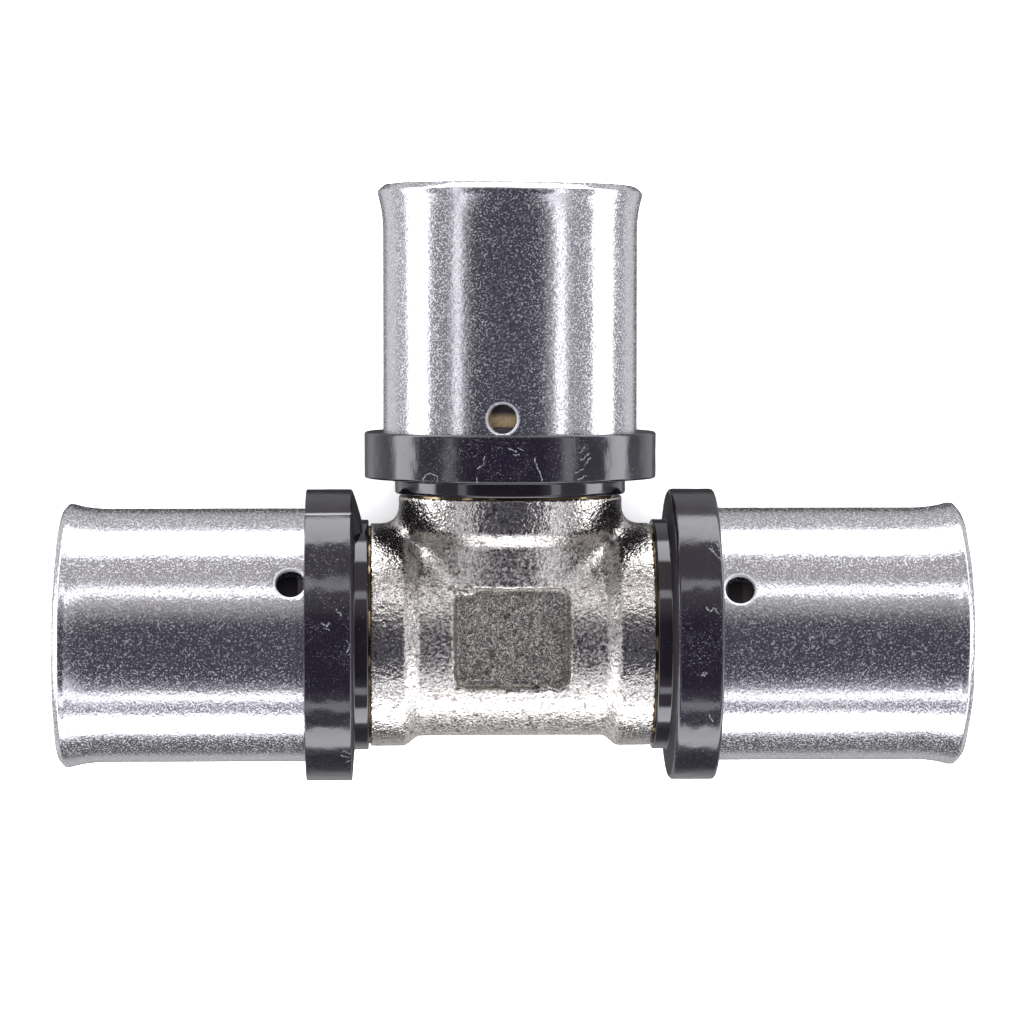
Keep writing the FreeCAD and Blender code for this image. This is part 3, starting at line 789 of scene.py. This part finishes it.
def make_sleeve(side):
    seed = {"left": 11.0, "right": 12.0, "branch": 13.0}[side]
    lean = {"left": 0.17, "right": 0.0, "branch": 0.12}[side]  # how far the mouth is cut askew
    HOLE_A = HOLE_AT[side]
    turn = TURN[side]
    third = 2 * math.pi * SLEEVE_R / 3
    n_patch, n_rest = 16, 44
    # angular lines, in millimetres round the outside, with the first hole at 0
    s_patch = np.linspace(-PATCH, PATCH, n_patch + 1)[:-1]
    s_rest = np.linspace(PATCH, third - PATCH, n_rest + 1)[:-1]
    s_line = np.concatenate([s_patch, s_rest])
    per = len(s_line)
    s_all = np.concatenate([s_line + k * third for k in range(3)])
    n_s = len(s_all)
    foot, mouth = 15.6, 40.9
    a_low = np.array([16.32, 16.8, HOLE_A - PATCH])
    a_patch = np.linspace(HOLE_A - PATCH, HOLE_A + PATCH, n_patch + 1)
    a_mid = np.linspace(HOLE_A + PATCH, 35.6, 16)
    a_flare = np.concatenate([np.linspace(36.2, 38.6, 8), np.linspace(38.9, 39.9, 6)])
    # the lip is bevelled outside and worn round inside
    lip_out = [(40.0, 11.955), (40.15, 11.955), (40.27, 11.95), (40.33, 11.93), (40.38, 11.885)]
    lip_out += [(40.46, 11.80), (40.54, 11.715), (40.62, 11.63), (40.70, 11.54), (40.77, 11.455)]
    lip_out += [(40.83, 11.37), (40.87, 11.29), (40.895, 11.20), (40.9, 11.12)]
    lip_in_arc = [(40.88, 11.07), (40.82, 11.03), (40.7, 11.0), (40.5, 10.985), (40.3, 10.98)]
    outer = [(float(a), float(flare_outer(np.array([a]))[0])) for a in a_flare]
    inner_a = np.concatenate([np.linspace(40.05, 36.3, 10), np.linspace(35.0, HOLE_A + PATCH + 0.6, 8)])
    inner = [(float(a), float(flare_inner(np.array([a]))[0])) for a in inner_a]
    foot_out = [(foot, SLEEVE_IN + 0.1), (foot, 11.55), (foot + 0.06, 11.69), (foot + 0.2, 11.75)]
    foot_out += [(16.0, 11.75), (16.12, 11.7), (16.2, 11.56), (16.28, 11.5)]

    verts, faces, uvs = [], [], []
    keep = {}

    def add(a, s, r):
        a, s, r = np.broadcast_arrays(a, s, r)
        start = sum(len(v) for v in verts)
        verts.append(np.column_stack([a.ravel(), s.ravel(), r.ravel()]))
        return np.arange(start, start + a.size).reshape(a.shape)

    def quads(rows, wrap):
        """Faces between rows of point numbers."""
        rows = np.asarray(rows)
        nxt = np.roll(rows, -1, axis=1) if wrap else rows[:, 1:]
        cur = rows if wrap else rows[:, :-1]
        q = np.stack([cur[:-1], cur[1:], nxt[1:], nxt[:-1]], axis=-1).reshape(-1, 4)
        faces.append(q)

    S = s_all[None, :]

    def ring_rows(profile):
        a = np.array([p[0] for p in profile])[:, None]
        r = np.array([p[1] for p in profile])[:, None]
        return add(a + 0 * S, S + 0 * a, r + 0 * S)

    foot_rows = ring_rows(foot_out)
    low_rows = ring_rows([(float(a), SLEEVE_R) for a in a_low[:-1]])
    band = ring_rows([(float(a), SLEEVE_R) for a in a_patch])  # the points inside patches go unused
    mid_rows = ring_rows([(float(a), SLEEVE_R) for a in a_mid[1:]])
    flare_rows = ring_rows(outer)
    lip_rows = ring_rows(lip_out + lip_in_arc)
    inner_rows = ring_rows(inner)
    in_patch = ring_rows([(float(a), SLEEVE_IN) for a in a_patch[::-1]])
    in_low = ring_rows([(16.8, SLEEVE_IN), (16.0, SLEEVE_IN), (foot + 0.1, SLEEVE_IN)])
    quads(np.concatenate([foot_rows, low_rows, band[:1]]), True)
    quads(np.concatenate([band[-1:], mid_rows, flare_rows, lip_rows, inner_rows, in_patch[:1]]), True)
    quads(np.concatenate([in_patch[-1:], in_low, foot_rows[:1]]), True)
    # the band with the holes: plain between the patches
    for k in range(3):
        first = k * per + n_patch
        columns = [(first + j) % n_s for j in range(n_rest + 1)]
        quads(band[:, columns], False)
        quads(in_patch[:, columns], False)
    # each patch: from the square out of the band to the round rim, down the wall and out inside
    for k in range(3):
        c0 = k * per
        columns = [(c0 + j) % n_s for j in range(n_patch + 1)]

        def loop(grid):
            side_a = [grid[0, c] for c in columns[:-1]]
            side_b = [grid[i, columns[-1]] for i in range(n_patch)]
            side_c = [grid[-1, c] for c in columns[:0:-1]]
            side_d = [grid[i, columns[0]] for i in range(n_patch, 0, -1)]
            return side_a + side_b + side_c + side_d

        square_out = loop(band)
        square_in = loop(in_patch[::-1])
        everything = np.concatenate(verts)
        da = everything[square_out, 0] - HOLE_A
        ds = everything[square_out, 1] - k * third
        ds = (ds + third * 1.5) % (third * 3) - third * 1.5
        phi = np.arctan2(ds, da)
        reach = np.hypot(da, ds)
        rows = [np.array(square_out)]
        edge = HOLE_R + RIM
        for share in (0.25, 0.5, 0.75, 0.9):
            d = reach + (edge + 0.1 - reach) * share
            rows.append(
                add(HOLE_A + d * np.cos(phi), k * third + d * np.sin(phi), SLEEVE_R + 0 * d)
            )
        for t in np.linspace(0, 90, 10):
            d = edge - RIM * math.sin(math.radians(t))
            h = -RIM * (1 - math.cos(math.radians(t)))
            rows.append(
                add(
                    HOLE_A + d * np.cos(phi),
                    k * third + d * np.sin(phi),
                    SLEEVE_R + h + 0 * phi,
                )
            )
        for r in (11.0, 10.7, 10.42):
            rows.append(
                add(
                    HOLE_A + HOLE_R * np.cos(phi),
                    k * third + HOLE_R * np.sin(phi),
                    r + 0 * phi,
                )
            )
        for d, r in ((HOLE_R + 0.05, 10.33), (HOLE_R + 0.15, 10.3)):
            rows.append(
                add(HOLE_A + d * np.cos(phi), k * third + d * np.sin(phi), r + 0 * phi)
            )
        for share in (0.6, 0.3):
            d = reach + (HOLE_R + 0.2 - reach) * share
            rows.append(
                add(HOLE_A + d * np.cos(phi), k * third + d * np.sin(phi), SLEEVE_IN + 0 * d)
            )
        rows.append(np.array(square_in))
        quads(np.stack(rows), True)
    flat = np.concatenate(verts)
    faces_all = np.concatenate(faces)
    a, s, r = flat.T
    # the burnished rims of the holes
    da = a[faces_all] - HOLE_A
    ds = (s[faces_all] + third / 2) % third - third / 2
    reach = np.hypot(da, ds)
    rim = (reach.max(1) < HOLE_R + RIM + 0.03) & (r[faces_all].min(1) > SLEEVE_R - RIM - 0.05)
    t = s / SLEEVE_R + math.radians(WINDOW[side])
    r = r + sleeve_waves(a, t, seed) * np.clip((a - 17.5) / 3, 0, 1)
    # the lip is a little uneven all round
    edge_noise = noise3(np.column_stack([np.cos(t) * 9, np.sin(t) * 9, 0 * a]), 2.2, seed + 5)
    a = a - np.clip((a - 38.5) / 2.4, 0, 1) * (0.05 + 0.05 * edge_noise)
    a = a - np.clip((a - 30.0) / 10.0, 0, 1) * lean * (1 + np.sin(t))
    points = np.column_stack([a, -r * np.sin(t), r * np.cos(t)])
    used = np.unique(faces_all)
    renumber = np.full(len(points), -1)
    renumber[used] = np.arange(len(used))
    points, faces_all = points[used], renumber[faces_all]
    faces_all = outward(points, faces_all)
    material = MAT_STEEL_Y if side == "branch" else MAT_STEEL_X
    obj = make_object(
        "press_sleeve_" + side, to_frame(points, turn), faces_all, [material, MAT_RIM],
        rim.astype(int), sharp=40,
    )
    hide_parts("sleeve_" + side)
    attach(obj, "root")
    return obj


# ------------------------------------------------------------------------------------------------
# Retaining rings
# ------------------------------------------------------------------------------------------------


def ring_profile(f, top, n, g):
    """Section of a ring. f and g round the flange's corners towards body and mouth, n the collar's."""
    neck, foot = 10.45, 14.15
    p = [(12.85, 8.7), (12.85, neck - n)]
    p += arc(12.85 + n, neck - n, n, 180, 90, 7)[1:]
    p += [(12.85 + n + 0.04, neck), (13.45, neck), (13.65, neck), (13.85, neck), (14.0, neck), (14.07, neck)]
    p += [(14.11, neck + 0.02), (14.14, neck + 0.07), (foot, neck + 0.2)]
    slope = (top - foot) / (13.27 - neck)
    p += [(foot + slope * (r - neck), r) for r in (11.2, 11.7, 12.2, 12.6, 13.27 - f)]
    at = p[-1][0]
    p += [(at + f * (1 + math.cos(x)), 13.27 - f + f * math.sin(x)) for x in np.radians(np.linspace(180, 90, 8))[1:]]
    p += [(a, 13.27) for a in np.linspace(at + f + 0.08, 18.5 - g - 0.06, 18)]
    p += arc(18.5 - g, 13.27 - g, g, 90, 0, 6)
    p += [(18.5, 12.5), (18.5, 12.0), (18.5, 11.68), (18.45, 11.58), (18.35, 11.55), (17.4, 11.55), (16.35, 11.55), (16.3, 11.6), (16.3, 11.8), (15.6, 11.8)]
    p += [(15.6, 11.0), (15.6, 10.25), (16.5, 10.25), (17.8, 10.25), (18.98, 10.25), (19.1, 10.13), (19.1, 9.4), (19.1, 8.75), (19.0, 8.65)]
    p += [(17.6, 8.65), (16.4, 8.65), (15.7, 8.65), (15.7, 8.1), (15.65, 8.05), (14.9, 8.05), (14.7, 8.2), (14.7, 8.65), (13.8, 8.65), (12.95, 8.65)]
    return p


def make_ring(side):
    seed = {"left": 21.0, "right": 22.0, "branch": 23.0}[side]
    segments = 320

    def shape(points, a, r, t):
        if side == "left":
            # a rib of flash stands in the corner between flange and collar, at one place
            around = np.degrees(np.arctan2(np.sin(t), np.cos(t)))
            there = np.clip((around - 62) / 3, 0, 1) * np.clip((112 - around) / 6, 0, 1)
            slant = np.clip((13.2 - r) / 2.6, 0, 1) ** 0.8
            front = (a > 13.9) & (a < 14.5) & (r > 10.4) & (r < 13.25)
            a = a - np.where(front, 0.62 * there * slant, 0)
        ring = np.column_stack([np.cos(t) * r, np.sin(t) * r, a])
        outside = np.clip((r - 12.2) / 0.8, 0, 1)
        push = outside * (0.02 * noise3(ring, 5.0, seed) + 0.012 * noise3(ring, 0.9, seed + 1) - 0.034)
        rr = r + push
        return np.column_stack([a, -rr * np.sin(t), rr * np.cos(t)])

    corners = {
        "left": (0.14, 14.35, 0.14, 0.13),
        "right": (0.40, 14.42, 0.16, 0.34),
        "branch": (0.20, 14.30, 0.28, 0.26),
    }[side]
    pts, qs = turn_profile(ring_profile(*corners), segments, offset=shape)
    qs = outward(pts, qs)
    middle = pts[qs].mean(1)
    radius = np.hypot(middle[:, 1], middle[:, 2])
    part = ((middle[:, 0] < 14.3) & (radius < 12.9) | (radius < 11.0)).astype(int)
    # the sloping face of the flange, and the flash in its corner, are as rough as spark erosion leaves them
    part[(middle[:, 0] < 14.42) & (radius > 10.5) & (radius < 12.95)] = 2
    part[(middle[:, 0] > 15.5) & (radius < 10.4)] = 2
    obj = make_object(
        "retaining_ring_" + side,
        to_frame(pts, TURN[side]),
        qs,
        [MAT_PLASTIC, MAT_COLLAR, MAT_DULL],
        part,
        sharp=50,
    )
    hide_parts("ring_" + side)
    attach(obj, "root")
    return obj


# ------------------------------------------------------------------------------------------------
# Seals
# ------------------------------------------------------------------------------------------------


def make_seal(side, which):
    centre = {"inner": 24.2, "outer": 32.4}[which]
    section = []
    for t in np.linspace(0, 2 * math.pi, 29)[:-1]:
        r = 0.795
        section.append((centre + r * math.cos(t), 7.3 + r * math.sin(t)))
    pts, qs = turn_profile(section, 128)
    qs = outward(pts, qs)
    name = "seal_%s_%s" % (side, which)
    obj = make_object(name, to_frame(pts, TURN[side]), qs, [MAT_RUBBER])
    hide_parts("o_ring_%s_%s" % (side, which))
    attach(obj, "root")
    return obj


make_body()
for which_side in ("left", "right", "branch"):
    make_sleeve(which_side)
    make_ring(which_side)
    for which_seal in ("inner", "outer"):
        make_seal(which_side, which_seal)

# ------------------------------------------------------------------------------------------------
# Floor, light and camera
# ------------------------------------------------------------------------------------------------
floor_material = Nodes("floor")
floor_place = floor_material.place()
floor_tone = floor_material.noise(floor_place, 40.0, 3.0, 0.5)
floor_material.link(
    floor_material.mix(floor_tone, (0.86, 0.86, 0.87, 1.0), (0.88, 0.88, 0.885, 1.0)),
    floor_material.shader.inputs["Base Color"],
)
floor_material.shader.inputs["Roughness"].default_value = 0.75
F = 1.4
floor = make_object(
    "floor",
    np.array([[-F, -F, -0.00005], [F, -F, -0.00005], [F, F, -0.00005], [-F, F, -0.00005]]),
    [(0, 1, 2, 3)],
    [floor_material.material],
)


def soft_light(name, place, aim, width, height, power, colour=(1, 1, 1), reflect=True, diffuse=True):
    data = bpy.data.lights.new(name, "AREA")
    data.shape = "RECTANGLE"
    data.size, data.size_y = width, height
    data.energy = power
    data.color = colour
    obj = bpy.data.objects.new(name, data)
    bpy.context.scene.collection.objects.link(obj)
    place, aim = np.array(place, float), np.array(aim, float)
    from mathutils import Vector

    obj.location = Vector(place)
    obj.rotation_euler = Vector(aim - place).to_track_quat("-Z", "Y").to_euler()
    obj.visible_glossy = reflect
    obj.visible_diffuse = diffuse
    return obj


soft_light("fill", (0, 0, 0.8), (0, 0, 0), 1.2, 1.2, 45.0, reflect=False)

# The room as the metal sees it: on each side a bright wall at the horizon and a narrow strip light
# above it, a dark card overhead and a dimmer ground. Angles are degrees down from straight up.
CARD = (0.080, 0.078, 0.104)
WALL = (4.6, 4.58, 4.8)
ROOM = {
    # strip: from, to, level | steps: from, to, colour
    "+y": dict(strip=(40.5, 48.5, 2.7), steps=[
        (12, 36, (0.52, 0.50, 0.50)), (80.5, 85.0, WALL), (108, 114, (0.56, 0.545, 0.56)),
        (134, 147, (0.44, 0.435, 0.44)), (147, 157, (0.07, 0.068, 0.072))]),
    "-y": dict(strip=(50.0, 58.0, 2.5), steps=[
        (34, 50, (0.34, 0.34, 0.38)), (72.0, 76.0, WALL), (92.5, 96.5, (0.40, 0.40, 0.41)),
        (97, 107, (0.16, 0.16, 0.165)), (126, 140, (0.58, 0.57, 0.58)), (150, 160, (0.40, 0.40, 0.41))]),
    "-x": dict(strip=(46.0, 54.5, 1.5), steps=[
        (34, 46, (0.33, 0.325, 0.35)), (79.5, 85.5, WALL), (102, 108, (0.56, 0.55, 0.58)),
        (120, 133, (0.80, 0.79, 0.82)), (145, 160, (0.24, 0.235, 0.25))]),
    "+x": dict(strip=(40.0, 50.0, 2.0), steps=[
        (24, 40, (0.40, 0.395, 0.425)), (78.0, 83.5, WALL), (100.5, 105.5, (0.43, 0.42, 0.44)),
        (117, 130, (0.76, 0.75, 0.78)), (142, 156, (0.16, 0.155, 0.165))]),
}


def build_room():
    world = bpy.data.worlds.new("studio")
    bpy.context.scene.world = world
    world.use_nodes = True
    tree = world.node_tree
    add, link = tree.nodes.new, tree.links.new
    direction = add("ShaderNodeTexCoord").outputs["Generated"]
    split = add("ShaderNodeSeparateXYZ")
    link(direction, split.inputs[0])

    def calc(operation, a, b=0.0):
        n = add("ShaderNodeMath")
        n.operation = operation
        for slot, v in ((0, a), (1, b)):
            if isinstance(v, (int, float)):
                n.inputs[slot].default_value = v
            else:
                link(v, n.inputs[slot])
        return n.outputs[0]

    def blend(factor, a, b):
        n = add("ShaderNodeMix")
        n.data_type = "RGBA"
        link(factor, n.inputs[0])
        for slot, v in ((6, a), (7, b)):
            if isinstance(v, tuple):
                n.inputs[slot].default_value = (*v, 1.0)
            else:
                link(v, n.inputs[slot])
        return n.outputs[2]

    x, y, z = split.outputs
    down = calc("MULTIPLY", calc("ARCCOSINE", z), 180 / math.pi)

    def rise(start, end):
        n = add("ShaderNodeMapRange")
        n.interpolation_type = "SMOOTHSTEP"
        n.inputs["From Min"].default_value = start
        n.inputs["From Max"].default_value = end
        link(down, n.inputs["Value"])
        return n.outputs["Result"]

    flat = calc("MAXIMUM", calc("ADD", calc("MULTIPLY", x, x), calc("MULTIPLY", y, y)), 1e-6)
    total = None
    for side, r in ROOM.items():
        axis = x if side[1] == "x" else y
        facing = calc("MAXIMUM", calc("MULTIPLY", axis, 1.0 if side[0] == "+" else -1.0), 0.0)
        share = calc("DIVIDE", calc("MULTIPLY", facing, facing), flat)
        start, end, colour = r["steps"][0]
        c = blend(rise(start, end), CARD, colour)
        lo, hi, level = r["strip"]
        lit = calc("MULTIPLY", rise(lo - 1.5, lo + 1.5), calc("SUBTRACT", 1.0, rise(hi - 1.5, hi + 1.5)))
        c = blend(lit, c, (level, level * 0.995, level * 1.06))
        for start, end, colour in r["steps"][1:]:
            c = blend(rise(start, end), c, colour)
        n = add("ShaderNodeVectorMath")
        n.operation = "SCALE"
        link(c, n.inputs[0])
        link(share, n.inputs["Scale"])
        if total is None:
            total = n.outputs[0]
        else:
            m = add("ShaderNodeVectorMath")
            m.operation = "ADD"
            link(total, m.inputs[0])
            link(n.outputs[0], m.inputs[1])
            total = m.outputs[0]
    link(total, tree.nodes["Background"].inputs["Color"])
    tree.nodes["Background"].inputs["Strength"].default_value = 1.0


build_room()
floor.visible_glossy = False

from mathutils import Matrix, Vector

camera = bpy.data.objects.new("camera", bpy.data.cameras.new("camera"))
bpy.context.scene.collection.objects.link(camera)
PIXEL = 0.001 / 11.0  # metres a pixel on the plane of the axes
eye = Vector((-0.011, TEE[1] + 0.029, TEE[2] + 0.350))
look = Vector((2 * PIXEL, TEE[1] + 122.5 * PIXEL, TEE[2]))
back = (eye - look).normalized()
side = Vector((0, 1, 0)).cross(back).normalized()
turn = Matrix((side, back.cross(side), back)).transposed()
camera.matrix_world = Matrix.Translation(eye) @ turn.to_4x4()
camera.data.sensor_width = 36.0
camera.data.sensor_fit = "HORIZONTAL"
camera.data.lens = 36.0 * (eye - look).length / (1024 * PIXEL)
camera.data.clip_start, camera.data.clip_end = 0.01, 10.0
bpy.context.scene.camera = camera
bpy.context.scene.view_settings.view_transform = "Standard"
bpy.context.scene.view_settings.look = "None"
